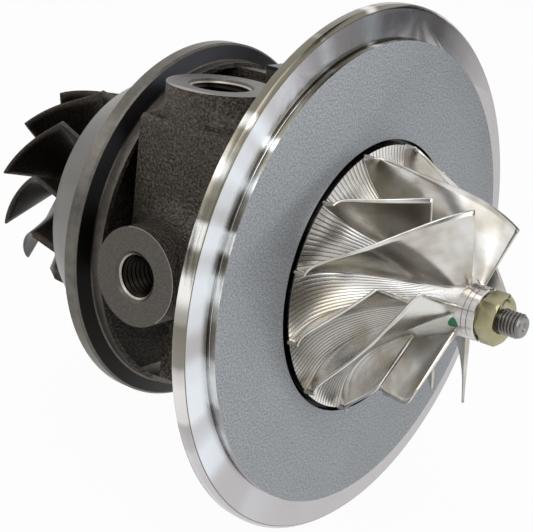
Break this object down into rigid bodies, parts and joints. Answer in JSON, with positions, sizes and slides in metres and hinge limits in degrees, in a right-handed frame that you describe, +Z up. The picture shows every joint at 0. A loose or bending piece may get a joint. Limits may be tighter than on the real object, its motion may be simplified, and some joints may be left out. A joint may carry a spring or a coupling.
{
  "type": "turbo cartridge",
  "caption": "Turbo cartridge: a cast bearing housing with coolant and oil ports, between a dark turbine wheel and a milled compressor wheel in front of a stepped round backplate.",
  "frame": {"origin": "on the shaft axis, in the plane of the backplate's raised matte face", "axes": "+X along the shaft towards the compressor nut, +Z up through the top coolant boss, -Y towards the side coolant boss"},
  "size_m": [0.1567, 0.1368, 0.1368],
  "materials": {
    "cast_housing": "rough cast, machined at the flanges and bosses",
    "backplate_alloy": "blasted, with a turned rim",
    "wheel_alloy": "milled",
    "turbine_alloy": "dark cast nickel alloy",
    "nut_zinc": "yellow zinc",
    "shaft_steel": "ground",
    "shield_steel": "pressed sheet",
    "bearing_bronze": "turned bronze",
    "spring_steel": "oiled",
    "collar_steel": "ground",
    "deflector_steel": "stamped",
    "screw_steel": "black oxide",
    "seal_rubber": "matte"
  },
  "bodies": {
    "housing": {"centre_housing": "cast_housing", "compressor_backplate": "backplate_alloy", "backplate_screws": "screw_steel", "backplate_seal_ring": "seal_rubber", "heat_shield": "shield_steel", "thrust_bearing": "bearing_bronze", "thrust_bearing_pins": "collar_steel", "oil_deflector": "deflector_steel", "turbine_piston_ring": "spring_steel", "compressor_piston_ring": "spring_steel", "turbine_bearing_outer_clip": "spring_steel", "turbine_bearing_inner_clip": "spring_steel", "compressor_bearing_inner_clip": "spring_steel", "compressor_bearing_outer_clip": "spring_steel"},
    "rotor": {"rotor_shaft": "shaft_steel", "turbine_wheel": "turbine_alloy", "turbine_wheel_blades": "turbine_alloy", "compressor_wheel": "wheel_alloy", "compressor_wheel_blades": "wheel_alloy", "shaft_nut": "nut_zinc", "thrust_collar": "collar_steel", "thrust_spacer": "collar_steel"},
    "turbine_bush": {"turbine_bearing": "bearing_bronze"},
    "compressor_bush": {"compressor_bearing": "bearing_bronze"}
  },
  "joints": [
    {"name": "rotor_spin", "type": "hinge", "parent": "housing", "child": "rotor", "pos_m": [0, 0, 0], "axis": [1, 0, 0], "continuous": true},
    {"name": "turbine_bush_spin", "type": "hinge", "parent": "housing", "child": "turbine_bush", "pos_m": [-0.058, 0, 0], "axis": [1, 0, 0], "continuous": true},
    {"name": "compressor_bush_spin", "type": "hinge", "parent": "housing", "child": "compressor_bush", "pos_m": [-0.0272, 0, 0], "axis": [1, 0, 0], "continuous": true}
  ]
}
